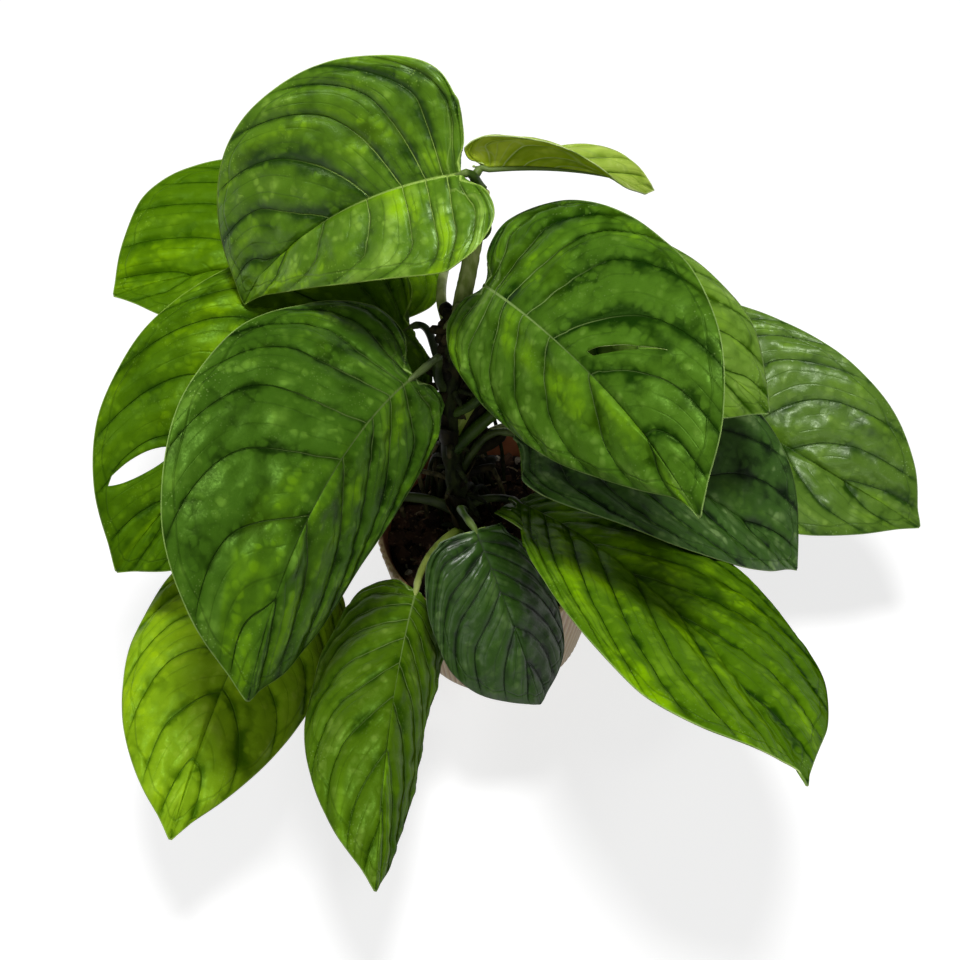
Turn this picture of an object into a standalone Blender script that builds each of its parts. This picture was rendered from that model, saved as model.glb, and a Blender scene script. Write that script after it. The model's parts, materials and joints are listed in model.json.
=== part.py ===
"""A potted monstera: ribbed pot, potting mix, climbing stem, aerial roots and thirteen leaves.

Metres, +Z up. The origin is the middle of the pot's underside. Headings are plan angles clockwise from +Y,
pitches rise from the horizontal, and both are in degrees.
"""

import math
from dataclasses import dataclass
from math import cos, pi, radians, sin

import bmesh
import bpy
from mathutils import Matrix, Vector, noise

MM = 0.001
GAP = 0.3 * MM  # between pieces that touch
WELD = 0.01 * MM
SHARP = radians(35)  # the smallest angle that is shaded as an edge

# Pot
POT_HEIGHT = 92 * MM
RIM_RADIUS = 61 * MM
BASE_RADIUS = 46 * MM
POT_WALL = 3.4 * MM
POT_FLOOR = 5 * MM
FOOT_BEVEL = 2 * MM
RIM_BEVEL = 1.2 * MM
POT_SIDES = 72
DRAIN_RADIUS = 4 * MM
DRAIN_CIRCLE = 24 * MM
DRAIN_HOLES = 3
DRAIN_SIDES = 16

# Potting mix
MIX_HEIGHT = 78 * MM
MIX_SIDES = 40
MIX_RINGS = 6
MIX_LUMPS = 2.5 * MM
MIX_LUMPS_PER_METRE = 90
MIX_LEVEL_EDGE = 0.05  # the outer share of the radius that has no lumps

# Main stem: its line, from inside the mix to the growing tip
STEM_LINE = [
    (-12, -11, 45),
    (-15, -9, 90),
    (-21, 1, 130),
    (-24, 9, 170),
    (-20, 18, 207),
    (-13, 28, 245),
    (-8, 37, 276),
]
STEM_FOOT_RADIUS = 6 * MM
STEM_TIP_RADIUS = 3.6 * MM
STEM_NODE_SWELL = 0.16
STEM_NODES = 13
STEM_STEPS = 44
STEM_SIDES_RESOLUTION = 3

PETIOLE_FOOT_RADIUS = 2.75 * MM
PETIOLE_TIP_RADIUS = 1.43 * MM
PETIOLE_STEPS = 12
PETIOLE_END = 1.1 * MM  # from the petiole's end to the notch of its blade
BLADE_THICKNESS = 0.8 * MM
BLADE_ROWS = 11
BLADE_COLUMNS = 6
VEIN_CROWDING = 2.2  # over 1 sets the side veins closer together at the notch
VEIN_ARCH = 1.3  # over 1 bends them forward as they go out
HOLE_SIDES = 14
HOLE_DEPTH = 12 * MM

# Half of a blade's margin, from the notch to the tip: across in half widths, along in lengths,
# and how far the point goes back with the lobe
MARGIN = [
    (0.08, 0.00, 0.00),
    (0.22, 0.00, -0.75),
    (0.50, 0.00, -1.00),
    (0.80, 0.02, -0.55),
    (0.96, 0.12, 0.00),
    (1.00, 0.27, 0.00),
    (0.95, 0.46, 0.00),
    (0.76, 0.66, 0.00),
    (0.46, 0.83, 0.00),
    (0.18, 0.94, 0.00),
    (0.015, 1.00, 0.00),
]


@dataclass
class Leaf:
    """One leaf. Pairs are the halves left and right of the midrib, and lengths are in millimetres."""

    notch: tuple  # where the petiole meets the blade
    heading: float  # of the midrib, as its pitch is
    pitch: float
    roll: float  # lowers the right half
    length: float  # from the notch to the tip
    widths: tuple  # of a blade whose halves were both this one
    petiole: tuple  # height on the stem, leaving (heading, pitch), arriving from under the blade, reach
    lobes: tuple = (0.08, 0.08)  # how far each half goes back past the notch, in lengths
    belly: tuple = (0.9, 0.9)  # under 1 moves a half's widest place towards the tip
    bow: float = 0  # how far the midrib swings sideways, in lengths
    droop: float = 30  # how far the midrib turns down from notch to tip
    fold: float = 0  # how far each half rises from the midrib
    curl: float = 20  # how far each half then bends down to the margin
    twist: float = 0  # how far the blade rolls on from notch to tip
    hole: tuple = ()  # a slot between two side veins: across, along, length, width, turn from the midrib
    finish: str = "leaf"


LEAVES = {
    "leaf_01": Leaf((-17, 35, 287), -85, -20, -35, 135, (85, 115), (276, (-85, 50), 20, 0.4),
                    lobes=(0.10, 0.04), belly=(1.8, 0.7), bow=0.02, droop=40, fold=15, curl=5, twist=-10,
                    finish="light leaf"),
    "leaf_02": Leaf((1, 42, 285), 82, 0, -54, 72, (36, 40), (256, (105, 20), 35, 0.5),
                    lobes=(0.10, 0.10), droop=35, fold=20, curl=25, twist=-8, finish="young leaf"),
    "leaf_03": Leaf((-43, 99, 184), -100, 10, -10, 148, (99, 105), (207, (-50, 55), 5, 0.4),
                    belly=(1.0, 0.4), bow=-0.01, droop=25, fold=15, curl=15, twist=-5, finish="light leaf"),
    "leaf_04": Leaf((-42, 46, 184), -127, -1, -15, 180, (95, 138), (184, (-45, 35), 10, 0.35),
                    lobes=(-0.02, 0.08), belly=(0.6, 0.7), bow=0.02, droop=35, fold=15, curl=15, twist=-5,
                    hole=(25, 135, 32, 8, 18), finish="light leaf"),
    "leaf_05": Leaf((-38, -3, 204), -155, 10, -40, 165, (92, 140), (178, (-115, 60), -60, 0.8),
                    lobes=(0.06, 0.14), belly=(0.5, 0.9), bow=0.04, droop=50, fold=-20, curl=5, twist=-15),
    "leaf_06": Leaf((-107, -29, 92), -165, 10, -15, 145, (90, 100), (104, (-75, 45), -20, 0.4),
                    belly=(1.1, 0.9), bow=0.01, droop=25, fold=-5, curl=20, twist=-5, finish="light leaf"),
    "leaf_07": Leaf((-39, -52, 108), -175, 10, -20, 150, (80, 85), (97, (-135, 30), 10, 0.4),
                    lobes=(-0.02, 0.06), belly=(0.7, 0.9), bow=0.02, droop=20, fold=-25, curl=40, twist=-20),
    "leaf_08": Leaf((-11, -41, 141), 150, -30, -10, 92, (68, 73), (108, (172, 50), 25, 0.4),
                    lobes=(-0.02, 0.02), belly=(0.4, 0.6), bow=0.01, droop=35, fold=-10, curl=20,
                    finish="dark leaf"),
    "leaf_09": Leaf((-7, 8, 249), 145, 20, 40, 145, (120, 90), (166, (100, 25), 60, 0.42),
                    lobes=(0.12, 0.10), belly=(0.9, 1.0), bow=0.01, droop=40, fold=-10, curl=15, twist=5,
                    hole=(-17, 71, 34, 4, -42)),
    "leaf_10": Leaf((7, 6, 153), 100, -10, 0, 166, (117, 98), (128, (80, 60), -10, 0.4),
                    lobes=(0.06, -0.04), belly=(0.6, 0.9), bow=-0.04, droop=35, fold=20, curl=5, twist=10,
                    finish="dark leaf"),
    "leaf_11": Leaf((20, 46, 220), 105, -5, 10, 122, (96, 86), (205, (50, 35), 20, 0.4),
                    lobes=(0.08, 0.04), belly=(0.8, 0.9), droop=35, fold=5, curl=20, twist=5),
    "leaf_12": Leaf((86, 82, 111), 120, 0, 20, 155, (113, 103), (150, (60, 60), -45, 0.6),
                    belly=(0.8, 1.0), bow=0.03, droop=25, fold=15, curl=15, twist=5),
    "leaf_13": Leaf((9, -4, 114), 149, 29, -20, 220, (140, 125), (108, (60, 45), 5, 0.4),
                    lobes=(0.02, -0.10), belly=(0.6, 0.3), bow=-0.06, droop=25, fold=15, curl=35, twist=-20,
                    finish="light leaf"),
}

# Aerial roots: height on the stem, then the points they pass, down into the mix
ROOTS = {
    "aerial_root_1": (160, [(-33, 12, 150), (-39, 14, 120), (-37, 12, 95), (-36, 10, 74)]),
    "aerial_root_2": (142, [(-12, 12, 134), (-4, 15, 118), (3, 14, 98), (5, 13, 74)]),
    "aerial_root_3": (148, [(-30, 16, 134), (-32, 20, 110), (-28, 19, 90), (-27, 18, 74)]),
    "aerial_root_4": (176, [(-17, 22, 168), (-14, 28, 140), (-12, 28, 100), (-12, 27, 74)]),
    "aerial_root_5": (124, [(-31, 2, 128), (-43, 6, 125), (-50, 11, 106), (-47, 12, 74)]),
}
ROOT_RADIUS = 1.3 * MM
ROOT_STEPS = 16

BLADE_FINISHES = {
    "leaf": (0.045, 0.13, 0.018),
    "light leaf": (0.10, 0.24, 0.02),
    "dark leaf": (0.012, 0.045, 0.014),
    "young leaf": (0.16, 0.30, 0.06),
}


def material(name, colour, roughness):
    made = bpy.data.materials.new(name)
    made.use_nodes = True
    shader = made.node_tree.nodes["Principled BSDF"]
    shader.inputs["Base Color"].default_value = (*colour, 1)
    shader.inputs["Roughness"].default_value = roughness
    made.diffuse_color = (*colour, 1)
    return made


def new_object(name, mesh, finish):
    made = bpy.data.objects.new(name, mesh)
    bpy.context.scene.collection.objects.link(made)
    made.data.materials.append(finish)
    return made


def mesh_of(shape, name):
    bmesh.ops.recalc_face_normals(shape, faces=shape.faces)
    mesh = bpy.data.meshes.new(name)
    shape.to_mesh(mesh)
    shape.free()
    return mesh


def make_cutter(name, mesh):
    made = bpy.data.objects.new(name, mesh)
    bpy.context.scene.collection.objects.link(made)
    made.hide_render = True
    made.display_type = "WIRE"
    return made


def cut(target, cutter):
    modifier = target.modifiers.new(f"cut by {cutter.name}", "BOOLEAN")
    modifier.operation = "DIFFERENCE"
    modifier.object = cutter


def direction(heading, pitch):
    """The unit vector of a heading and a pitch."""
    plan = cos(radians(pitch))
    return Vector((sin(radians(heading)) * plan, cos(radians(heading)) * plan, sin(radians(pitch))))


def smooth_line(points, count):
    """Evenly spread points of a Catmull-Rom curve through the given ones."""
    points = [Vector(point) for point in points]
    ends = [2 * points[0] - points[1], *points, 2 * points[-1] - points[-2]]
    line = []
    for step in range(count):
        place = step / (count - 1) * (len(points) - 1)
        first = min(int(place), len(points) - 2)
        t = place - first
        a, b, c, d = ends[first : first + 4]
        slope, bend, turn = c - a, 2 * a - 5 * b + 4 * c - d, 3 * b - 3 * c + d - a
        line.append(b + (slope * t + bend * t**2 + turn * t**3) / 2)
    return line


def tube(points, radii, resolution=2):
    """The mesh of a round tube with filled ends."""
    curve = bpy.data.curves.new("tube", "CURVE")
    curve.dimensions = "3D"
    curve.bevel_depth = 1
    curve.bevel_resolution = resolution
    curve.use_fill_caps = True
    spline = curve.splines.new("POLY")
    spline.points.add(len(points) - 1)
    for knot, point, radius in zip(spline.points, points, radii):
        knot.co = (*point, 1)
        knot.radius = radius
    guide = bpy.data.objects.new("tube", curve)
    bpy.context.scene.collection.objects.link(guide)
    shape = bmesh.new()
    shape.from_mesh(guide.evaluated_get(bpy.context.evaluated_depsgraph_get()).to_mesh())
    bmesh.ops.remove_doubles(shape, verts=shape.verts, dist=WELD)
    bpy.data.objects.remove(guide)
    return mesh_of(shape, "tube")


def turned(profile, sides):
    """A closed body from a profile of (radius, height) that starts and ends on the axis."""
    shape = bmesh.new()
    corners = [shape.verts.new((radius, 0, height)) for radius, height in profile]
    edges = [shape.edges.new(pair) for pair in zip(corners, corners[1:])]
    bmesh.ops.spin(shape, geom=corners + edges, axis=(0, 0, 1), cent=(0, 0, 0), angle=2 * pi, steps=sides,
                   use_merge=True)
    bmesh.ops.remove_doubles(shape, verts=shape.verts, dist=WELD)
    return shape


def outer_radius(height):
    return BASE_RADIUS + (RIM_RADIUS - BASE_RADIUS) * height / POT_HEIGHT


def make_pot(finish):
    profile = [
        (0, 0),
        (BASE_RADIUS - FOOT_BEVEL, 0),
        (BASE_RADIUS, FOOT_BEVEL),
        (outer_radius(POT_HEIGHT / 2), POT_HEIGHT / 2),
        (RIM_RADIUS, POT_HEIGHT - RIM_BEVEL),
        (RIM_RADIUS - RIM_BEVEL, POT_HEIGHT),
        (RIM_RADIUS - POT_WALL + RIM_BEVEL, POT_HEIGHT),
        (RIM_RADIUS - POT_WALL, POT_HEIGHT - RIM_BEVEL),
        (outer_radius(POT_FLOOR) - POT_WALL, POT_FLOOR),
        (0, POT_FLOOR),
    ]
    mesh = mesh_of(turned(profile, POT_SIDES), "pot")
    mesh.shade_smooth()
    mesh.set_sharp_from_angle(angle=SHARP)
    pot = new_object("pot", mesh, finish)
    for hole in range(DRAIN_HOLES):
        turn = 2 * pi * hole / DRAIN_HOLES
        shape = bmesh.new()
        bmesh.ops.create_cone(shape, cap_ends=True, segments=DRAIN_SIDES, radius1=DRAIN_RADIUS,
                              radius2=DRAIN_RADIUS, depth=4 * POT_FLOOR)
        centre = (DRAIN_CIRCLE * cos(turn), DRAIN_CIRCLE * sin(turn), 0)
        bmesh.ops.translate(shape, verts=shape.verts, vec=centre)
        cut(pot, make_cutter(f"drain_hole_{hole + 1}", mesh_of(shape, "drain hole")))
    return pot


def make_mix(finish, cutters):
    """The potting mix fills the pot to below its rim, with a lumpy top."""
    foot = POT_FLOOR + GAP
    side_gap = POT_WALL + 2 * GAP
    edge = outer_radius(MIX_HEIGHT) - side_gap
    profile = [(0, foot), (outer_radius(foot) - side_gap, foot), (edge, MIX_HEIGHT)]
    profile += [(edge * (1 - ring / MIX_RINGS), MIX_HEIGHT) for ring in range(1, MIX_RINGS + 1)]
    shape = turned(profile, MIX_SIDES)
    for vert in shape.verts:
        inside = 1 - Vector(vert.co.xy).length / edge
        if vert.co.z > MIX_HEIGHT - GAP and inside > MIX_LEVEL_EDGE:
            vert.co.z += MIX_LUMPS * (noise.noise(vert.co * MIX_LUMPS_PER_METRE) + 0.5)
    mix = new_object("potting_mix", mesh_of(shape, "mix"), finish)
    for cutter in cutters:
        cut(mix, cutter)
    return mix


def stem_points():
    return [point * MM for point in smooth_line(STEM_LINE, STEM_STEPS)]


def stem_radii():
    """The stem tapers, and swells at each node."""
    radii = []
    for step in range(STEM_STEPS):
        t = step / (STEM_STEPS - 1)
        swell = STEM_NODE_SWELL * cos(2 * pi * STEM_NODES * t) * (1 - t)
        radii.append((STEM_FOOT_RADIUS + (STEM_TIP_RADIUS - STEM_FOOT_RADIUS) * t) * (1 + swell))
    return radii


def on_stem(height):
    """The point of the stem's line at a height in millimetres."""
    line = stem_points()
    for low, high in zip(line, line[1:]):
        if low.z <= height * MM <= high.z:
            return low.lerp(high, (height * MM - low.z) / (high.z - low.z))
    return line[-1]


def bezier(start, leave, arrive, end, count):
    points = []
    for step in range(count):
        t = step / (count - 1)
        s = 1 - t
        points.append(start * s**3 + leave * (3 * s * s * t) + arrive * (3 * s * t * t) + end * t**3)
    return points


def petiole_points(plan):
    height, leaving, under, reach = plan.petiole
    start = on_stem(height)
    midrib = direction(plan.heading, plan.pitch)
    across = direction(plan.heading + 90, 0)
    upward = across.cross(midrib) * cos(radians(plan.roll)) + across * sin(radians(plan.roll))
    arriving = midrib * cos(radians(under)) + upward * sin(radians(under))
    end = Vector(plan.notch) * MM - arriving * PETIOLE_END
    handle = (end - start).length * reach
    return bezier(start, start + direction(*leaving) * handle, end - arriving * handle, end, PETIOLE_STEPS)


def blade_point(plan, across, along):
    """A point of the blade's middle surface, from its place on the flat blade in metres."""
    length = plan.length * MM
    half_width = plan.widths[across > 0] * MM / 2
    t = max(along / length, 0)
    start = radians(plan.pitch)
    turn = radians(plan.droop)
    slope = start - turn * min(t, 1)
    ahead = length * (sin(start) - sin(slope)) / turn + min(along, 0) * cos(start)
    up = length * (cos(slope) - cos(start)) / turn + min(along, 0) * sin(start)
    fold = radians(plan.fold)
    curl = radians(plan.curl)
    lean = fold - curl * abs(across) / half_width
    side = math.copysign(half_width * (sin(fold) - sin(lean)) / curl, across)
    side += plan.bow * length * 4 * t * (1 - t)
    rise = half_width * (cos(lean) - cos(fold)) / curl
    roll = radians(plan.roll + plan.twist * t)
    side, rise = side * cos(roll) + rise * sin(roll), rise * cos(roll) - side * sin(roll)
    ahead -= rise * sin(slope)
    up += rise * cos(slope)
    heading = radians(plan.heading)
    place = (side * cos(heading) + ahead * sin(heading), ahead * cos(heading) - side * sin(heading), up)
    return Vector(plan.notch) * MM + Vector(place)


def make_blade(name, plan, finish):
    """A grid whose rows follow the side veins, from the midrib forward to the margin."""
    margin = smooth_line(MARGIN, BLADE_ROWS + 1)
    shape = bmesh.new()
    bmesh.ops.create_grid(shape, x_segments=BLADE_COLUMNS, y_segments=BLADE_ROWS, size=1)
    for vert in shape.verts:
        right = int(vert.co.x > 0)
        row = round((vert.co.y + 1) / 2 * BLADE_ROWS)
        out = abs(vert.co.x)
        across, along, back = margin[row]
        edge = max(along, 0) ** plan.belly[right] + back * plan.lobes[right]
        vein_foot = (row / BLADE_ROWS) ** VEIN_CROWDING
        along = vein_foot + (edge - vein_foot) * out**VEIN_ARCH
        across *= vert.co.x * plan.widths[right] * MM / 2
        vert.co = blade_point(plan, across, along * plan.length * MM)
    mesh = mesh_of(shape, "blade")
    mesh.shade_smooth()
    blade = new_object(name, mesh, finish)
    wall = blade.modifiers.new("thickness", "SOLIDIFY")
    wall.thickness = BLADE_THICKNESS
    wall.offset = 0
    if plan.hole:
        cut(blade, make_hole_cutter(name, plan))
    return blade


def make_hole_cutter(name, plan):
    """An oval post that stands square to the blade at its hole."""
    across, along, length, width, turn = plan.hole
    centre = blade_point(plan, across * MM, along * MM)
    side = blade_point(plan, (across + 1) * MM, along * MM) - centre
    ahead = blade_point(plan, across * MM, (along + 1) * MM) - centre
    upward = side.cross(ahead).normalized()
    ahead = (ahead * cos(radians(turn)) + side * sin(radians(turn))).normalized()
    frame = Matrix((ahead.cross(upward), ahead, upward)).transposed()
    shape = bmesh.new()
    bmesh.ops.create_cone(shape, cap_ends=True, segments=HOLE_SIDES, radius1=0.5, radius2=0.5,
                          depth=HOLE_DEPTH)
    bmesh.ops.scale(shape, verts=shape.verts, vec=(width * MM, length * MM, 1))
    bmesh.ops.transform(shape, verts=shape.verts, matrix=Matrix.Translation(centre) @ frame.to_4x4())
    return make_cutter(f"{name}_hole", mesh_of(shape, "hole"))


def make_tube_piece(name, points, radii, finish, cutter=None, resolution=2):
    mesh = tube(points, radii, resolution)
    mesh.shade_smooth()
    piece = new_object(name, mesh, finish)
    if cutter:
        cut(piece, cutter)
    return piece


def clearance_of(name, points, radii, resolution):
    """A cutter one gap larger than a tube, all round and at both ends."""
    before = points[0] - (points[1] - points[0]).normalized() * GAP
    beyond = points[-1] + (points[-1] - points[-2]).normalized() * GAP
    radii = [radius + GAP for radius in (radii[0], *radii, radii[-1])]
    return make_cutter(f"{name}_clearance", tube([before, *points, beyond], radii, resolution))


def main():
    for old in list(bpy.data.objects):
        bpy.data.objects.remove(old)

    glaze = material("cream glaze", (0.58, 0.42, 0.22), 0.45)
    mix_finish = material("potting mix", (0.045, 0.028, 0.018), 0.95)
    stem_finish = material("stem skin", (0.06, 0.09, 0.02), 0.6)
    root_finish = material("root skin", (0.20, 0.17, 0.09), 0.7)
    petiole_finish = material("petiole skin", (0.13, 0.20, 0.05), 0.5)
    blade_finishes = {name: material(name, colour, 0.4) for name, colour in BLADE_FINISHES.items()}

    make_pot(glaze)
    line, radii = stem_points(), stem_radii()
    make_tube_piece("main_stem", line, radii, stem_finish, resolution=STEM_SIDES_RESOLUTION)
    clearance = clearance_of("main_stem", line, radii, STEM_SIDES_RESOLUTION)
    cutters = [clearance]

    for name, (height, route) in ROOTS.items():
        points = smooth_line([on_stem(height), *[Vector(point) * MM for point in route]], ROOT_STEPS)
        radii = [ROOT_RADIUS] * ROOT_STEPS
        make_tube_piece(name, points, radii, root_finish, clearance, 1)
        cutters.append(clearance_of(name, points, radii, 1))
    make_mix(mix_finish, cutters)

    for name, plan in LEAVES.items():
        points = petiole_points(plan)
        taper = (PETIOLE_TIP_RADIUS - PETIOLE_FOOT_RADIUS) / (PETIOLE_STEPS - 1)
        radii = [PETIOLE_FOOT_RADIUS + taper * step for step in range(PETIOLE_STEPS)]
        make_tube_piece(f"{name}_petiole", points, radii, petiole_finish, clearance)
        make_blade(f"{name}_blade", plan, blade_finishes[plan.finish])


main()
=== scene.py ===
import json
import random
from math import atan2, cos, exp, floor, pi, radians, sin

import bmesh
import bpy
from mathutils import Matrix, Vector, kdtree, noise


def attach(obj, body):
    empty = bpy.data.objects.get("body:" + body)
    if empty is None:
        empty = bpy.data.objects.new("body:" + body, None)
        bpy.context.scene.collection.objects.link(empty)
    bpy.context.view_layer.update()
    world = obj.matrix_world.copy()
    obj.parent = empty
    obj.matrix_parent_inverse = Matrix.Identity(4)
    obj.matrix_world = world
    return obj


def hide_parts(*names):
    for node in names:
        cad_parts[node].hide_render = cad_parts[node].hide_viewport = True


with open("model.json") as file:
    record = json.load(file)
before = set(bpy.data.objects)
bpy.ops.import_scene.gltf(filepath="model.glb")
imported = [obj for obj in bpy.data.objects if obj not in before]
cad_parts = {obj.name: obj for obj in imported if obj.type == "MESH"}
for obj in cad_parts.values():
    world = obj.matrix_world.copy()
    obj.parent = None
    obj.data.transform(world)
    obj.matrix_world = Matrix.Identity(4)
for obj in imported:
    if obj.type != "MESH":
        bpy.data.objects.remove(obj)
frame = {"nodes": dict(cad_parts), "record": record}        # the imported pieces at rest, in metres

mm = 0.001
noise.seed_set(1)  # or noise vectors would differ from run to run
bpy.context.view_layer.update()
print("frame loaded:", len(frame["nodes"]), "nodes")


# colours and nodes

def paint(red, green, blue):  # a screen colour, made linear for the shader
    return (*[((c / 255 + 0.055) / 1.055) ** 2.4 if c > 10 else c / 3294.6 for c in (red, green, blue)], 1.0)


def addNode(tree, kind, values=None, **settings):
    made = tree.nodes.new("ShaderNode" + kind)
    for name, value in settings.items():
        setattr(made, name, value)
    for name, value in (values or {}).items():
        if isinstance(value, bpy.types.NodeSocket):
            tree.links.new(value, made.inputs[name])
        else:
            made.inputs[name].default_value = value
    return made


def calc(tree, operation, first, second=0.0):
    return addNode(tree, "Math", {0: first, 1: second}, operation=operation).outputs[0]


def times(tree, first, second):
    return calc(tree, "MULTIPLY", first, second)


def plus(tree, first, second):
    return calc(tree, "ADD", first, second)


def minus(tree, first, second):
    return calc(tree, "SUBTRACT", first, second)


def addNoise(tree, place, scale, detail=2.0):
    return addNode(tree, "TexNoise", {"Vector": place, "Scale": scale, "Detail": detail}).outputs[0]


def fade(tree, value, start, end, low=0.0, high=1.0):  # eases from low at start to high at end
    values = {"Value": value, "From Min": start, "From Max": end, "To Min": low, "To Max": high}
    return addNode(tree, "MapRange", values, interpolation_type="SMOOTHSTEP").outputs["Result"]


def mixColours(tree, share, first, second, how="MIX"):
    values = {0: share, 6: first, 7: second}
    return addNode(tree, "Mix", values, data_type="RGBA", blend_type=how).outputs[2]


def readAttribute(tree, name):
    return addNode(tree, "Attribute", attribute_name=name).outputs["Fac"]


def objectPlace(tree):
    return addNode(tree, "TexCoord").outputs["Object"]


def bumpFrom(tree, height, strength, distance):
    return addNode(tree, "Bump", {"Height": height, "Strength": strength, "Distance": distance}).outputs[0]


def newFinish(name, roughness=0.5, specular=0.5):
    made = bpy.data.materials.new(name)
    made.use_nodes = True
    shader = made.node_tree.nodes["Principled BSDF"]
    shader.inputs["Roughness"].default_value = roughness
    shader.inputs["Specular IOR Level"].default_value = specular
    return made, made.node_tree, shader


def wire(tree, shader, **outputs):
    for name, socket in outputs.items():
        tree.links.new(socket, shader.inputs[name.replace("_", " ")])


def newGroup(name, inputs, outputs):
    group = bpy.data.node_groups.new(name, "ShaderNodeTree")
    for label, value in inputs.items():
        kind = "NodeSocketVector" if isinstance(value, tuple) else "NodeSocketFloat"
        group.interface.new_socket(label, in_out="INPUT", socket_type=kind).default_value = value
    for label in outputs:
        group.interface.new_socket(label, in_out="OUTPUT", socket_type="NodeSocketFloat")
    return group, group.nodes.new("NodeGroupInput").outputs, group.nodes.new("NodeGroupOutput").inputs


def placeGroup(tree, group, values):
    return addNode(tree, "Group", values, node_tree=group).outputs


# meshes

def addObject(name, data):
    made = bpy.data.objects.new(name, data)
    bpy.context.scene.collection.objects.link(made)
    return made


def meshFrom(name, shape, finishes=()):
    mesh = bpy.data.meshes.new(name)
    shape.to_mesh(mesh)
    shape.free()
    for finish in finishes:
        mesh.materials.append(finish)
    return mesh


def newPiece(name, shape, finishes, slot, *nodes):
    mesh = meshFrom(name, shape, finishes)
    mesh.shade_smooth()
    piece = addObject(name, mesh)
    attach(piece, "root")
    if nodes:
        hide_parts(*nodes)
    return piece


def smoothAt(stops, place):  # a Catmull-Rom curve through the stops
    first = min(int(place), len(stops) - 2)
    t = place - first
    b, c = Vector(stops[first]), Vector(stops[first + 1])
    a = Vector(stops[first - 1]) if first else 2 * b - c
    d = Vector(stops[first + 2]) if first + 2 < len(stops) else 2 * c - b
    slope, bend, turn = c - a, 2 * a - 5 * b + 4 * c - d, 3 * b - 3 * c + d - a
    return b + (slope * t + bend * t**2 + turn * t**3) / 2


def smoothLine(stops, count):
    return [smoothAt(stops, step / (count - 1) * (len(stops) - 1)) for step in range(count)]


def framesAlong(line, up):  # one frame a point, carried back from the end, where up is given
    frames = []
    for step in reversed(range(len(line))):
        tangent = (line[min(step + 1, len(line) - 1)] - line[max(step - 1, 0)]).normalized()
        up = (up - tangent * up.dot(tangent)).normalized()
        turn = Matrix((up.cross(tangent), up, tangent)).transposed()
        frames.insert(0, Matrix.Translation(line[step]) @ turn.to_4x4())
    return frames


def sweep(shape, line, radii, sides, up=Vector((0, 1, 0)), outline=None):
    # a ring is extruded from point to point, and outline(t, angle) then scales each ring's radius
    along = shape.verts.layers.float.get("along") or shape.verts.layers.float.new("along")
    frames = framesAlong(line, up)
    verts = bmesh.ops.create_circle(shape, segments=sides, radius=1)["verts"]
    edges = list(dict.fromkeys(edge for vert in verts for edge in vert.link_edges))
    ends = [edges]
    last = Matrix.Identity(4)
    rings = []
    for step, (place, radius) in enumerate(zip(frames, radii)):
        if step:
            grown = bmesh.ops.extrude_edge_only(shape, edges=edges)["geom"]
            verts = [item for item in grown if isinstance(item, bmesh.types.BMVert)]
            edges = [item for item in grown if isinstance(item, bmesh.types.BMEdge) and item.is_boundary]
        grip = place @ Matrix.Scale(radius, 4)
        bmesh.ops.transform(shape, matrix=grip @ last.inverted(), verts=verts)
        last = grip
        t = step / (len(line) - 1)
        for vert in verts:
            vert[along] = t
        rings.append((verts, grip, t))
    ends.append(edges)
    for verts, grip, t in rings if outline else []:
        undo = grip.inverted()
        for vert in verts:
            local = undo @ vert.co
            local.xy *= outline(t, atan2(local.y, local.x))
            vert.co = grip @ local
    for rim in ends:
        bmesh.ops.holes_fill(shape, edges=rim)


def onRing(angle, along):  # a place for noise that closes round a tube
    return Vector((cos(angle), sin(angle), along))


def addCorners(shape, profile):  # radius and height of each corner, in millimetres
    return [shape.verts.new((radius * mm, 0, height * mm)) for radius, height in profile]


def spinRound(shape, corners, steps):
    edges = [shape.edges.new(pair) for pair in zip(corners, corners[1:])]
    bmesh.ops.spin(shape, geom=corners + edges, axis=(0, 0, 1), cent=(0, 0, 0), angle=2 * pi,
                   steps=steps, use_merge=True)
    bmesh.ops.remove_doubles(shape, verts=shape.verts, dist=0.01 * mm)


def finishTube(shape):
    bmesh.ops.recalc_face_normals(shape, faces=shape.faces)
    return shape


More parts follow.
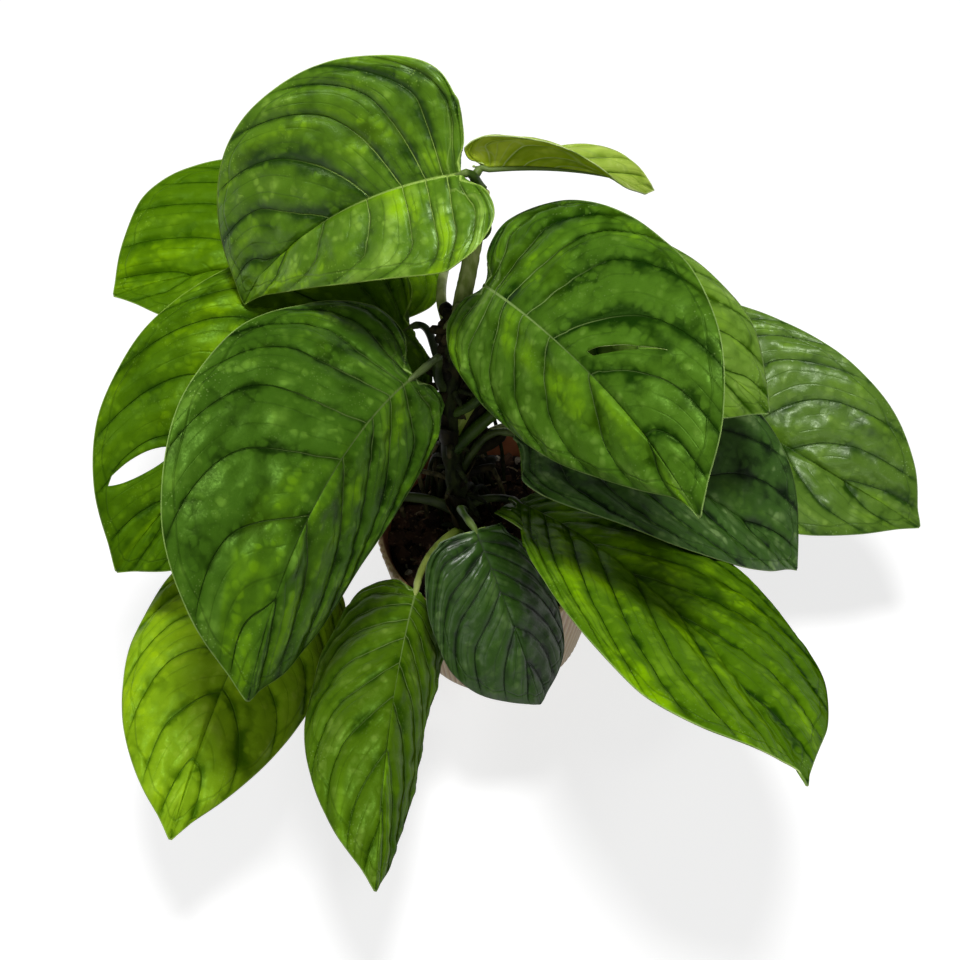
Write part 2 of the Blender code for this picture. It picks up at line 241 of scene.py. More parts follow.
# leaves: where each stands, its outline, and its look, where glow is partly painted light shining through
# the blade and lift is painted light and shade on the halves. Lengths are in millimetres, angles in degrees,
# pairs are the halves left and right of the midrib, and headings run clockwise from +Y
leaves = {
    "leaf_01": dict(
        notch=(-17, 35, 287), heading=-85, pitch=-20, roll=-35, length=135, widths=(85, 119),
        petiole=(276, (-85, 50), 20, 0.4), lobes=(0.10, 0.04), belly=(1.8, 0.7), bow=0.02,
        droop=40, fold=15, curl=5, twist=-10, veins=9, wave=1.0, seed=1,
        dark=(28, 58, 0), mid=(80, 118, 20), light=(128, 166, 56), glow=(132, 178, 0), glowShare=0.56,
        pale=(166, 198, 92), paleRib=0.75, roughness=0.33, shine=0.3,
        sheen=(225, 255, 200), lift=(0.14, -0.12)),
    "leaf_02": dict(
        notch=(-7.5, 42, 285), heading=82, pitch=0, roll=-72, length=79, widths=(31, 40),
        petiole=(256, (105, 20), 35, 0.5), lobes=(0.05, 0.10), belly=(0.8, 0.7), droop=33, fold=28, curl=12,
        twist=104, veins=7, wave=1.8, seed=2, straight=0.8,
        dark=(104, 134, 24), mid=(148, 172, 66), light=(178, 196, 104), glow=(170, 192, 84), glowShare=0.4,
        pale=(200, 216, 140), paleRib=0.6, under=((140, 166, 10), (190, 210, 60))),
    "leaf_03": dict(
        notch=(-43, 99, 184), heading=-100, pitch=10, roll=-10, length=148, widths=(99, 118),
        petiole=(207, (-42, 36), 5, 0.4), belly=(1.0, 0.4), bow=-0.01, droop=25, fold=15, curl=15,
        twist=-5, veins=9, wave=1.2, seed=3,
        dark=(48, 84, 0), mid=(74, 112, 4), light=(98, 138, 14), glow=(112, 154, 0), glowShare=0.5,
        pale=(150, 184, 76), paleRib=0.3),
    "leaf_04": dict(
        notch=(-42, 46, 184), heading=-127, pitch=-1, roll=-15, length=180, widths=(95, 138),
        petiole=(184, (-45, 35), 10, 0.35), lobes=(-0.02, 0.08), belly=(0.6, 0.7), bow=0.02,
        droop=35, fold=15, curl=15, twist=-5, veins=9, wave=1.2, seed=4,
        slit=dict(half=1, at=0.806, start=0.50, end=0.92, open=0.018, shape=(0.7, 0.9)),
        dark=(28, 58, 0), mid=(66, 102, 4), light=(96, 136, 12), glow=(120, 162, 0), glowShare=0.5,
        pale=(150, 184, 76), paleRib=0.3),
    "leaf_05": dict(
        notch=(-38, -3, 204), heading=-155, pitch=10, roll=-40, length=165, widths=(92, 140),
        petiole=(178, (-115, 60), -60, 0.8), lobes=(0.06, 0.14), belly=(0.5, 0.9), bow=0.04,
        droop=50, fold=-20, curl=5, twist=-15, veins=9, wave=1.4, seed=5,
        dark=(12, 34, 2), mid=(56, 90, 18), light=(96, 134, 42), glow=(96, 138, 10), glowShare=0.4,
        pale=(150, 180, 96), paleRib=0.3),
    "leaf_06": dict(
        notch=(-107, -29, 92), heading=-165, pitch=10, roll=-15, length=145, widths=(90, 100),
        petiole=(104, (-75, 45), -20, 0.4), belly=(1.1, 0.9), bow=0.01, droop=25, fold=-5, curl=20,
        twist=-5, veins=9, wave=1.4, seed=6,
        dark=(62, 98, 2), mid=(124, 162, 22), light=(152, 186, 52), glow=(150, 188, 6), glowShare=0.52,
        pale=(158, 188, 84), paleRib=0.2),
    "leaf_07": dict(
        notch=(-39, -52, 108), heading=-175, pitch=10, roll=-20, length=150, widths=(80, 85), straight=0.8,
        petiole=(97, (-135, 30), 10, 0.4), lobes=(-0.02, 0.06), belly=(0.7, 0.9), bow=0.02,
        droop=20, fold=-25, curl=40, twist=-20, veins=11, wave=1.6, seed=7,
        dark=(38, 68, 0), mid=(72, 104, 12), light=(106, 136, 46), glow=(98, 142, 0), glowShare=0.42,
        pale=(140, 164, 92), paleRib=0.55, roughness=0.38),
    "leaf_08": dict(
        notch=(-11, -41, 141), heading=150, pitch=-30, roll=-10, length=92, widths=(68, 73), straight=0.75,
        petiole=(108, (172, 50), 25, 0.4), lobes=(-0.02, 0.02), belly=(0.4, 0.6), bow=0.01,
        droop=35, fold=-10, curl=20, veins=9, wave=0.8, seed=8,
        dark=(8, 30, 2), mid=(46, 76, 22), light=(84, 112, 56), glow=(54, 88, 20), glowShare=0.3,
        pale=(104, 124, 88), paleRib=0.25, roughness=0.33, shine=0.28, sheen=(255, 255, 255)),
    "leaf_09": dict(
        notch=(-7, 8, 249), heading=145, pitch=20, roll=40, length=145, widths=(120, 90), tip=(4, 3),
        petiole=(166, (100, 25), 60, 0.42), lobes=(0.12, 0.10), belly=(0.9, 1.0), bow=0.01,
        droop=40, fold=-10, curl=15, twist=5, veins=9, wave=1.0, seed=9,
        slit=dict(half=-1, at=0.743, start=0.16, end=0.70, open=0.0054, shape=(0.4, 1.5)),
        dark=(16, 44, 2), mid=(66, 102, 22), light=(106, 142, 52), glow=(100, 144, 8), glowShare=0.46,
        pale=(150, 180, 100), paleRib=0.6, lift=(-0.14, 0.1)),
    "leaf_10": dict(
        notch=(7, 6, 153), heading=100, pitch=-10, roll=0, length=166, widths=(117, 98),
        petiole=(128, (80, 60), -10, 0.4), lobes=(0.06, -0.04), belly=(0.6, 0.9), bow=-0.04,
        droop=35, fold=20, curl=5, twist=10, veins=9, wave=1.0, seed=10,
        dark=(2, 24, 0), mid=(58, 92, 32), light=(118, 148, 84), glow=(72, 112, 26), glowShare=0.3,
        pale=(120, 148, 92), paleRib=0.3, roughness=0.38, shine=0.3, sheen=(235, 255, 220)),
    "leaf_11": dict(
        notch=(20, 46, 220), heading=113, pitch=-5, roll=10, length=124, widths=(88, 84),
        petiole=(205, (50, 35), 20, 0.4), lobes=(0.08, 0.04), belly=(0.8, 0.9), droop=35, fold=5,
        curl=20, twist=5, veins=9, wave=1.4, seed=11,
        dark=(44, 78, 4), mid=(106, 142, 48), light=(146, 180, 80), glow=(128, 172, 20), glowShare=0.5,
        pale=(158, 188, 112), paleRib=0.3, roughness=0.40),
    "leaf_12": dict(
        notch=(86, 82, 111), heading=120, pitch=0, roll=20, length=155, widths=(113, 103),
        petiole=(150, (60, 60), -45, 0.6), belly=(0.8, 1.0), bow=0.03, droop=25, fold=15, curl=15,
        twist=5, veins=9, wave=1.4, seed=12,
        dark=(36, 68, 6), mid=(86, 120, 36), light=(122, 156, 62), glow=(106, 148, 14), glowShare=0.42,
        pale=(150, 180, 110), paleRib=0.2, roughness=0.34, shine=0.3, sheen=(240, 255, 225)),
    "leaf_13": dict(
        notch=(9, -4, 114), heading=149, pitch=29, roll=-20, length=220, widths=(140, 125), tip=(10, 6),
        petiole=(108, (60, 45), 5, 0.4), lobes=(0.02, -0.10), belly=(0.6, 0.3), bow=-0.06,
        droop=25, fold=15, curl=35, twist=-20, veins=10, wave=1.8, seed=13,
        dark=(26, 58, 0), mid=(74, 112, 8), light=(102, 142, 22), glow=(122, 168, 0), glowShare=0.48,
        pale=(136, 168, 84), paleRib=0.45, shine=0.05, straight=0.85, lift=(-0.06, 0.14)),
}
usualLeaf = dict(
    lobes=(0.08, 0.08), belly=(0.9, 0.9), bow=0.0, twist=0,
    tip=(0, 0),  # how far the tip is drawn sideways and onward
    straight=0.6,  # how far veins run straight before they arch
    roughness=0.36, shine=0.17, sheen=(190, 255, 110),  # the sheen is the tint of its highlights
    lift=(0, 0),  # painted light and shade: how much brighter the left and right halves are drawn
    under=((70, 98, 30), (108, 138, 54)),  # the underside's darker and lighter green
)
leaves = {name: {**usualLeaf, **leaf} for name, leaf in leaves.items()}

# half of a blade's margin from notch to tip: across in half widths, along in lengths, and back with the lobe
marginStops = [
    (0.08, 0.00, 0.00), (0.22, 0.00, -0.75), (0.50, 0.00, -1.00), (0.80, 0.02, -0.55), (0.96, 0.12, 0.00),
    (1.00, 0.27, 0.00), (0.95, 0.46, 0.00), (0.76, 0.66, 0.00), (0.45, 0.83, 0.00), (0.155, 0.94, 0.00),
    (0.015, 1.00, 0.00),
]
bladeForm = dict(
    rows=124, columns=38, denser=0.45,  # columns a half, and how much closer they stand at midrib and margin
    thickness=0.5 * mm, sideVeins=3,  # side veins between two main ones
    uvSpan=2.5,  # the height of the UV map holds this many times the leaf's number of veins
    crowding=2.7, arch=3.0,  # how veins gather at the notch, and run straight and then arch
    margin=0.16, marginStart=0.6, wobble=0.26,  # how they sweep forward near the margin, and wander
    quilt=1.3, sideQuilt=0.06, blister=0.9, pucker=0.9, groove=0.28, ribGroove=0.6,  # heights in millimetres
    rough=0.014,  # how uneven the outline is, as a share of the half width
)


def bladePoint(leaf, across, along):  # across and along are places on the flat blade, in metres
    length = leaf["length"] * mm
    halfWidth = leaf["widths"][across > 0] * mm / 2
    t = max(along / length, 0)
    start, turn = radians(leaf["pitch"]), radians(leaf["droop"])
    slope = start - turn * min(t, 1)
    past = max(along - length, 0)
    ahead = length * (sin(start) - sin(slope)) / turn + min(along, 0) * cos(start) + past * cos(slope)
    up = length * (cos(slope) - cos(start)) / turn + min(along, 0) * sin(start) + past * sin(slope)
    fold, curl = radians(leaf["fold"]), radians(leaf["curl"])
    lean = fold - curl * abs(across) / halfWidth
    side = halfWidth * (sin(fold) - sin(lean)) / curl * (1 if across > 0 else -1)
    side += leaf["bow"] * length * 4 * t * (1 - t)
    rise = halfWidth * (cos(lean) - cos(fold)) / curl
    roll = radians(leaf["roll"] + leaf["twist"] * t)
    side, rise = side * cos(roll) + rise * sin(roll), rise * cos(roll) - side * sin(roll)
    ahead -= rise * sin(slope)
    up += rise * cos(slope)
    heading = radians(leaf["heading"])
    place = (side * cos(heading) + ahead * sin(heading), ahead * cos(heading) - side * sin(heading), up)
    return Vector(leaf["notch"]) * mm + Vector(place)


def flatPlace(leaf, half, out, row):  # across and along on the flat blade, in millimetres
    across, along, back = smoothAt(marginStops, min(max(row, 0), 1) * (len(marginStops) - 1))
    right = half > 0
    edge = max(along, 0) ** leaf["belly"][right] + back * leaf["lobes"][right]
    foot = max(row, 0) ** bladeForm["crowding"]
    straight = leaf["straight"]
    along = foot + (edge - foot) * (straight * out + (1 - straight) * out ** bladeForm["arch"])
    uneven = noise.noise(Vector((row * 9, half * 4.0, leaf["seed"] * 1.9)))
    across *= 1 + bladeForm["rough"] * uneven * out * min(row * 6, (1 - row) * 6, 1)
    drawn = max(0, (row - 0.8) / 0.2) ** 3
    sideways, onward = leaf["tip"]
    across = across * half * out * leaf["widths"][right] / 2 + sideways * drawn
    return across, along * leaf["length"] + onward * drawn


def onBlade(leaf, half, out, row):  # out runs from midrib to margin, and row from notch to tip
    across, along = flatPlace(leaf, half, out, row)
    return bladePoint(leaf, across * mm, along * mm)


def veinNumber(leaf, half, out, row):  # a whole number on each main vein
    start = bladeForm["marginStart"]
    bend = bladeForm["margin"] * max(0, (out - start) / (1 - start)) ** 2 * min(1, (1 - row) * 1.5)
    wobble = noise.noise(Vector((row * 5, out * 1.6, half * 3 + leaf["seed"] * 7.3)))
    return (row - bend) * leaf["veins"] + bladeForm["wobble"] * wobble + leaf["veins"]


def quiltHeight(leaf, half, out, number, gap, flat):  # how far the blade stands up here, in millimetres
    between = number - floor(number)
    hump = sin(pi * between) ** 0.7
    sideHump = abs(sin(pi * number * bladeForm["sideVeins"]))
    place = Vector((*flat, leaf["seed"] * 31))
    spot = noise.noise(place / 5.5)
    pucker = noise.noise(place / 11)
    width = min(gap / 14, 1.2)
    size = min(leaf["length"] / 150, 1)
    calm = min(out / 0.12, 1) * min((1 - out) / 0.08, 1)
    height = calm * width * (bladeForm["quilt"] * hump + bladeForm["sideQuilt"] * sideHump * hump)
    crinkle = bladeForm["blister"] * spot + bladeForm["pucker"] * pucker
    height += calm * size * crinkle * (0.4 + 0.6 * hump * width)
    fromVein = min(between, 1 - between) * gap
    height -= calm * min(gap / 8, 1) * bladeForm["groove"] * exp(-(fromVein / 0.9) ** 2)
    fromRib = out * leaf["widths"][half > 0] / 2
    return height - bladeForm["ribGroove"] * exp(-(fromRib / 1.4) ** 2)


def openSlit(shape, leaf):  # splits the sheet along one row, between two side veins
    slit, rows = leaf["slit"], bladeForm["rows"]
    slit["row"] = round(slit["at"] * rows)

    def inSlit(vert):
        out = abs(vert.co.x)
        return (round((vert.co.y + 1) / 2 * rows) == slit["row"] and vert.co.x * slit["half"] > 0
                and slit["start"] <= out <= slit["end"])

    edges = [edge for edge in shape.edges if all(inSlit(vert) for vert in edge.verts)]
    bmesh.ops.split_edges(shape, edges=edges)


def slitShift(vert, leaf, row):  # how far a vertex moves along the rows to let the slit gape
    slit, rows = leaf["slit"], bladeForm["rows"]
    share = (abs(vert.co.x) - slit["start"]) / (slit["end"] - slit["start"])
    if vert.co.x * slit["half"] <= 0 or not 0 < share < 1:
        return 0
    steps = round(row * rows) - slit["row"]
    if not steps:  # the sheet's two lips lie on one row, and each has its faces on one side
        middle = sum(face.calc_center_median().y for face in vert.link_faces) / len(vert.link_faces)
        steps = 0.1 if middle > vert.co.y else -0.1
    early, late = slit["shape"]
    gape = share**early * (1 - share) ** late / (0.5 ** (early + late))
    reach = slit["open"] * gape * exp(-abs(steps) / rows / 0.07)
    return reach if steps > 0 else -reach


def makeBlade(name, leaf):
    form = bladeForm
    shape = bmesh.new()
    bmesh.ops.create_grid(shape, x_segments=2 * form["columns"], y_segments=form["rows"], size=1)
    if "slit" in leaf:
        openSlit(shape, leaf)
    layers = {key: shape.verts.layers.float.new(key) for key in ("run", "gap", "edge", "across", "ahead")}
    uv = shape.loops.layers.uv.new("leafUv")
    places = []
    for vert in shape.verts:
        half = 1 if vert.co.x > 0 else -1
        x = abs(vert.co.x)
        out = x * (1 - form["denser"]) + form["denser"] * (0.5 - 0.5 * cos(pi * x))
        row = (vert.co.y + 1) / 2
        number = veinNumber(leaf, half, out, row)
        if "slit" in leaf:
            row += slitShift(vert, leaf, row)
        places.append((half, out, row, number))
    rims = [vert for vert in shape.verts if max(abs(vert.co.x), abs(vert.co.y)) > 0.999]
    tip = leaf["veins"] * form["uvSpan"]
    for face in shape.faces:
        for loop in face.loops:
            half, out, row, number = places[loop.vert.index]
            loop[uv].uv = (0.5 + 0.5 * half * out, number / tip)
    step = 0.002
    for vert, (half, out, row, number) in zip(shape.verts, places):
        across, along = flatPlace(leaf, half, out, row)
        vert.co = bladePoint(leaf, across * mm, along * mm)
        outward = (onBlade(leaf, half, out + step, row) - vert.co).normalized()
        inner, later = max(out, 0.03), min(row + step, 1)
        onward = onBlade(leaf, half, inner, later) - onBlade(leaf, half, inner, later - step)
        between = (onward - outward * onward.dot(outward)).length / step / leaf["veins"]
        vert[layers["gap"]] = between / mm
        vert[layers["run"]] = (vert.co - onBlade(leaf, half, 0, row)).length / mm
        vert[layers["across"]] = across
        vert[layers["ahead"]] = along
    shape.normal_update()
    finder = kdtree.KDTree(len(rims))
    for index, vert in enumerate(rims):
        finder.insert(vert.co, index)
    finder.balance()
    for vert in shape.verts:
        vert[layers["edge"]] = finder.find(vert.co)[2] / mm
    normals = [vert.normal.copy() for vert in shape.verts]
    for vert, normal, (half, out, row, number) in zip(shape.verts, normals, places):
        flat = vert[layers["across"]], vert[layers["ahead"]]
        height = quiltHeight(leaf, half, out, number, vert[layers["gap"]], flat)
        ripple = noise.noise(Vector((row * 7, half * 2.0, leaf["seed"] * 5.7))) * 2
        height += leaf["wave"] * out**4 * ripple * min((1 - row) * 8, 1)
        vert.co += normal * height * min((1 - row) * 16, 1) * mm
    finishes = [leafFinish(name, leaf), undersideFinish(name, leaf), marginFinish]
    blade = newPiece(f"{name}_blade_skin", shape, finishes, leafSlots[name], f"{name}_blade")
    wall = blade.modifiers.new("thickness", "SOLIDIFY")
    wall.thickness = form["thickness"]
    wall.offset = 0
    wall.use_rim = True
    wall.material_offset = 1
    wall.material_offset_rim = 2


# leaf finishes
leafSlots = {item["node"][:7]: item["material_slot"] for item in frame["record"]["subparts"]
             if item["node"].endswith("_blade")}
# sizes in millimetres
veinLook = dict(main=0.32, side=0.3, paintedVeinShade=3.4, cell=4.2, blotch=12.0, band=30.0, collector=4.4,
                seedStep=3.7)  # seedStep tells the leaves' patterns apart


def makeVeinGroup():
    group, given, result = newGroup(
        "leaf veins", {"Side Veins": float(bladeForm["sideVeins"]), "Veins": 9.0, "Seed": 0.0},
        ["Main", "Side", "Level", "Rib", "Row", "Patch", "Edge", "Right"])
    uv = addNode(group, "UVMap", uv_map="leafUv").outputs["UV"]
    parts = addNode(group, "SeparateXYZ", {0: uv}).outputs
    signed = addNode(group, "Math", {0: parts[0], 1: 2.0, 2: -1.0}, operation="MULTIPLY_ADD").outputs[0]
    number = times(group, parts[1], times(group, given["Veins"], bladeForm["uvSpan"]))
    gap, run, edge = [readAttribute(group, name) for name in ("gap", "run", "edge")]

    def fromLine(value):  # distance to the nearest whole number, as a share
        away = calc(group, "FRACT", plus(group, value, 0.5))
        return calc(group, "ABSOLUTE", minus(group, away, 0.5))

    share = fromLine(number)
    fromMain = times(group, share, gap)
    sideNumber = times(group, number, given["Side Veins"])
    sideShare = fromLine(sideNumber)
    sideGap = calc(group, "DIVIDE", gap, given["Side Veins"])
    depth = plus(group, times(group, calc(group, "SIGN", signed), 7.0), given["Seed"])
    flat = addNode(group, "CombineXYZ", {0: readAttribute(group, "across"), 1: readAttribute(group, "ahead"),
                                         2: times(group, given["Seed"], 40.0)}).outputs[0]
    drift = addNode(group, "TexNoise", {"Vector": flat, "Scale": 0.16, "Detail": 1.0}).outputs["Color"]
    shift = addNode(group, "VectorMath", {0: drift, "Scale": 5.0}, operation="SCALE").outputs[0]
    shifted = addNode(group, "VectorMath", {0: flat, 1: shift}, operation="ADD").outputs[0]
    cells = addNode(group, "TexVoronoi", {"Vector": shifted, "Scale": 1 / veinLook["cell"]})
    tone = addNode(group, "SeparateXYZ", {0: cells.outputs["Color"]}).outputs[0]
    blotch = addNoise(group, flat, 1 / veinLook["blotch"], 3.0)
    along = addNode(group, "CombineXYZ", {0: calc(group, "DIVIDE", run, veinLook["band"]), 2: depth,
                                          1: times(group, number, 0.5)}).outputs[0]
    streak = addNoise(group, along, 1.6, 1.0)
    patch = addNoise(group, along, 0.9)

    def centred(value, size):  # a noise value, spread round nought
        return times(group, minus(group, value, 0.5), size)

    roomy = fade(group, sideGap, 1.2, 3.0)  # where side veins stand apart enough to show
    faint = fade(group, streak, 0.40, 0.62, 0.1, 1.0)
    unclear = times(group, roomy, faint)
    # painted shade in the side-vein creases: darker towards each side vein, lighter between them
    band = times(group, minus(group, fade(group, sideShare, 0.0, 0.42), 0.6), unclear)
    cell = times(group, fade(group, cells.outputs["Distance"], 0.2, 0.7, 1.0, 0.0), tone)
    level = plus(group, centred(blotch, 1.1), centred(streak, 0.7))
    level = plus(group, level, times(group, band, 0.12))
    level = plus(group, level, times(group, minus(group, cell, 0.28), 0.3))
    clear = fade(group, gap, 1.5, 6.0)  # main veins fade where they crowd together
    # painted light and shade of the quilting: lighter midway between main veins, darker towards them
    middle = times(group, minus(group, fade(group, share, 0.02, 0.4), 0.6), clear)
    level = plus(group, level, times(group, middle, 0.2))
    # painted shade: darker beside the sunken main veins
    paintedVeinShade = times(group, fade(group, fromMain, 0.0, veinLook["paintedVeinShade"], 1.0, 0.0), clear)
    level = minus(group, level, times(group, paintedVeinShade, 0.13))
    line = fade(group, fromMain, veinLook["main"] * 0.3, veinLook["main"] * 1.4, 1.0, 0.0)
    main = times(group, times(group, line, clear), fade(group, edge, 1.0, 6.0))
    bow = plus(group, veinLook["collector"], times(group, share, -3.2))
    fromBow = calc(group, "ABSOLUTE", minus(group, edge, plus(group, bow, 1.6)))
    collector = times(group, fade(group, fromBow, 0.1, 0.7, 1.0, 0.0), 0.4)
    side = fade(group, times(group, sideShare, sideGap), veinLook["side"] * 0.2,
                veinLook["side"] * 2.2, 1.0, 0.0)
    links = group.links
    links.new(calc(group, "MAXIMUM", main, collector), result["Main"])
    links.new(fade(group, signed, -0.06, 0.06), result["Right"])
    links.new(times(group, side, unclear), result["Side"])
    links.new(plus(group, level, 0.5), result["Level"])
    rowShare = calc(group, "DIVIDE", minus(group, number, given["Veins"]), given["Veins"])
    ribWidth = fade(group, rowShare, 0.2, 1.0, 0.95, 0.4)
    links.new(fade(group, calc(group, "DIVIDE", run, ribWidth), 0.35, 1.0, 1.0, 0.0), result["Rib"])
    links.new(rowShare, result["Row"])
    links.new(patch, result["Patch"])
    links.new(edge, result["Edge"])
    return group


def makeFleckGroup():  # pale flecks and a fine grain
    group, given, result = newGroup("flecks", {"Vector": (0.0, 0.0, 0.0), "Size": 1.6, "Seed": 0.0},
                                    ["Fleck", "Grain"])
    place = addNode(group, "VectorMath", {0: given["Vector"], 1: given["Seed"]}, operation="ADD").outputs[0]
    scale = calc(group, "DIVIDE", 1000.0, given["Size"])
    dots = addNode(group, "TexVoronoi", {"Vector": place, "Scale": scale})
    clump = addNoise(group, place, 55.0)
    grain = addNoise(group, place, 900.0)
    dot = fade(group, dots.outputs["Distance"], 0.10, 0.30, 1.0, 0.0)
    group.links.new(times(group, dot, fade(group, clump, 0.46, 0.66)), result["Fleck"])
    group.links.new(grain, result["Grain"])
    return group


def leafFinish(name, leaf):
    finish, tree, shader = newFinish(f"{name} upper side", leaf["roughness"], leaf["shine"])
    shader.inputs["Specular Tint"].default_value = paint(*leaf["sheen"])
    seed = leaf["seed"] * veinLook["seedStep"]
    veins = placeGroup(tree, veinGroup, {"Seed": seed, "Veins": float(leaf["veins"])})
    flecks = placeGroup(tree, fleckGroup, {"Vector": objectPlace(tree), "Seed": seed})
    dark, mid, light, glow, pale = [paint(*leaf[key]) for key in ("dark", "mid", "light", "glow", "pale")]
    # painted light and shade: lift draws one half of the blade lighter and the other darker
    level = plus(tree, veins["Level"], fade(tree, veins["Right"], 0.0, 1.0, *leaf["lift"]))
    colour = mixColours(tree, fade(tree, level, 0.0, 0.5), dark, mid)
    colour = mixColours(tree, fade(tree, level, 0.5, 1.05), colour, light)
    # glow patches: yellow-green, partly the leaf's own tone and partly painted light shining through the
    # thin blade
    inPatch = fade(tree, veins["Patch"], 0.64 - 0.3 * leaf["glowShare"], 0.78 - 0.3 * leaf["glowShare"])
    tintAndPaintedBacklight = times(tree, inPatch, fade(tree, level, 0.35, 0.85, 0.15, 0.9))
    colour = mixColours(tree, tintAndPaintedBacklight, colour, glow)
    colour = mixColours(tree, times(tree, veins["Side"], 0.22), colour, dark)
    nearFoot = fade(tree, readAttribute(tree, "run"), 6.0, 44.0, 1.0, 0.0)
    nearNotch = fade(tree, veins["Row"], 0.5, 0.95, 1.0, 0.0)
    paleVein = times(tree, times(tree, nearFoot, nearNotch), leaf["paleRib"])
    veinColour = mixColours(tree, paleVein, dark, pale)
    colour = mixColours(tree, times(tree, veins["Main"], 0.85), colour, veinColour)
    ribColour = mixColours(tree, times(tree, nearNotch, leaf["paleRib"]), dark, pale)
    colour = mixColours(tree, veins["Rib"], colour, ribColour)
    nearEdge = fade(tree, veins["Edge"], 2.0, 14.0, 1.0, 0.3)
    spotted = times(tree, times(tree, flecks["Fleck"], nearEdge), 0.45)
    colour = mixColours(tree, spotted, colour, pale)
    border = fade(tree, veins["Edge"], 0.15, 0.75, 0.8, 0.0)
    colour = mixColours(tree, border, colour, pale)
    lines = plus(tree, times(tree, veins["Main"], 0.8),
                 times(tree, veins["Side"], 0.2))
    height = minus(tree, times(tree, veins["Level"], 0.8), lines)
    height = plus(tree, height, times(tree, flecks["Grain"], 0.12))
    rough = fade(tree, flecks["Grain"], 0.3, 0.7, leaf["roughness"] - 0.05, leaf["roughness"] + 0.07)
    facing = addNode(tree, "LayerWeight", {"Blend": 0.5}).outputs["Facing"]
    shine = fade(tree, facing, 0.4, 0.75, leaf["shine"], 0.0)  # a leaf is matt at a low angle
    wire(tree, shader, Base_Color=colour, Roughness=rough, Specular_IOR_Level=shine,
         Normal=bumpFrom(tree, height, 0.75, 0.6 * mm))
    return finish


def undersideFinish(name, leaf):
    finish, tree, shader = newFinish(f"{name} underside", 0.5, 0.12)
    seed = leaf["seed"] * veinLook["seedStep"]
    veins = placeGroup(tree, veinGroup, {"Seed": seed, "Veins": float(leaf["veins"])})
    flecks = placeGroup(tree, fleckGroup, {"Vector": objectPlace(tree), "Seed": 5.0})
    dark, light = [paint(*tone) for tone in leaf["under"]]
    colour = mixColours(tree, fade(tree, veins["Level"], 0.1, 0.9), dark, light)
    lines = calc(tree, "MAXIMUM", times(tree, veins["Side"], 0.4), veins["Main"])
    colour = mixColours(tree, times(tree, lines, 0.6), colour, paint(*leaf["pale"]))
    height = plus(tree, lines, times(tree, flecks["Grain"], 0.2))
    wire(tree, shader, Base_Color=colour, Normal=bumpFrom(tree, height, 0.4, 0.4 * mm))
    return finish


def makeMarginFinish():
    finish, tree, shader = newFinish("leaf margin", 0.5, 0.4)
    drift = addNoise(tree, objectPlace(tree), 60.0)
    colour = mixColours(tree, fade(tree, drift, 0.4, 0.6), paint(120, 146, 60), paint(182, 202, 124))
    wire(tree, shader, Base_Color=colour)
    return finish


veinGroup = makeVeinGroup()
fleckGroup = makeFleckGroup()
marginFinish = makeMarginFinish()
for name, leaf in leaves.items():
    makeBlade(name, leaf)
print("blades made:", len(leaves))

# stem, with its nodes, root stubs and dry sheaths
stem = dict(
    line=[(-12, -11, 45), (-15, -9, 90), (-21, 1, 130), (-24, 9, 170), (-20, 18, 207), (-13, 28, 245),
          (-8, 37, 276)],
    foot=6.0, tip=3.6, nodes=13, swell=0.16, steps=150, sides=28,
)
stemLine = [point * mm for point in smoothLine(stem["line"], stem["steps"])]


def stemRadius(t):
    swell = stem["swell"] * cos(2 * pi * stem["nodes"] * t) * (1 - t)
    return (stem["foot"] + (stem["tip"] - stem["foot"]) * t) * (1 + swell) * mm


def onStem(height):  # the stem's middle at a height in millimetres, and how far along it that is
    for step, (low, high) in enumerate(zip(stemLine, stemLine[1:])):
        if low.z <= height * mm <= high.z:
            share = (height * mm - low.z) / (high.z - low.z)
            return low.lerp(high, share), (step + share) / (stem["steps"] - 1)
    return stemLine[-1], 1.0


def stemOutline(t, angle):
    place = onRing(angle, t * 26)
    ring = abs(sin(pi * (stem["nodes"] * t + 0.06 * noise.noise(place)))) ** 0.5  # a scar at each node
    return 0.96 + 0.05 * noise.noise(place * 1.7) - 0.10 * (1 - ring) + 0.03 * noise.noise(place * 6)


def makeWoodFinish(name, dark, light, scar, scale, young=None):  # stem and root skin, rough and streaked
    finish, tree, shader = newFinish(name, 0.75, 0.1)
    place = objectPlace(tree)
    streak = addNode(tree, "Mapping", {"Vector": place, "Scale": (1.0, 1.0, 0.25)}).outputs[0]
    grain = addNoise(tree, streak, scale, 4.0)
    blotch = addNoise(tree, place, scale * 0.18, 3.0)
    colour = mixColours(tree, fade(tree, grain, 0.35, 0.65), paint(*dark), paint(*light))
    colour = mixColours(tree, fade(tree, blotch, 0.52, 0.66), colour, paint(*scar))
    if young:  # greener and paler above this height, where the stem is young
        height = addNode(tree, "SeparateXYZ", {0: place}).outputs[2]
        fresh = mixColours(tree, fade(tree, grain, 0.3, 0.7), paint(130, 148, 68), paint(176, 188, 116))
        colour = mixColours(tree, fade(tree, height, young - 0.012, young + 0.012), colour, fresh)
    wire(tree, shader, Base_Color=colour, Normal=bumpFrom(tree, grain, 0.7, 0.5 * mm),
         Roughness=fade(tree, blotch, 0.3, 0.7, 0.6, 0.85))
    return finish


stemFinish = makeWoodFinish("stem skin", (16, 20, 8), (40, 48, 20), (54, 50, 30), 420.0, young=0.222)
rootFinish = makeWoodFinish("aerial root skin", (40, 38, 22), (86, 80, 52), (118, 108, 76), 500.0)
huskFinish = makeWoodFinish("dry sheath", (14, 13, 6), (38, 34, 18), (58, 50, 30), 300.0)

shape = bmesh.new()
radii = [stemRadius(step / (stem["steps"] - 1)) for step in range(stem["steps"])]
sweep(shape, stemLine, radii, stem["sides"], outline=stemOutline)
newPiece("stem_skin", finishTube(shape), [stemFinish], "stem", "main_stem")

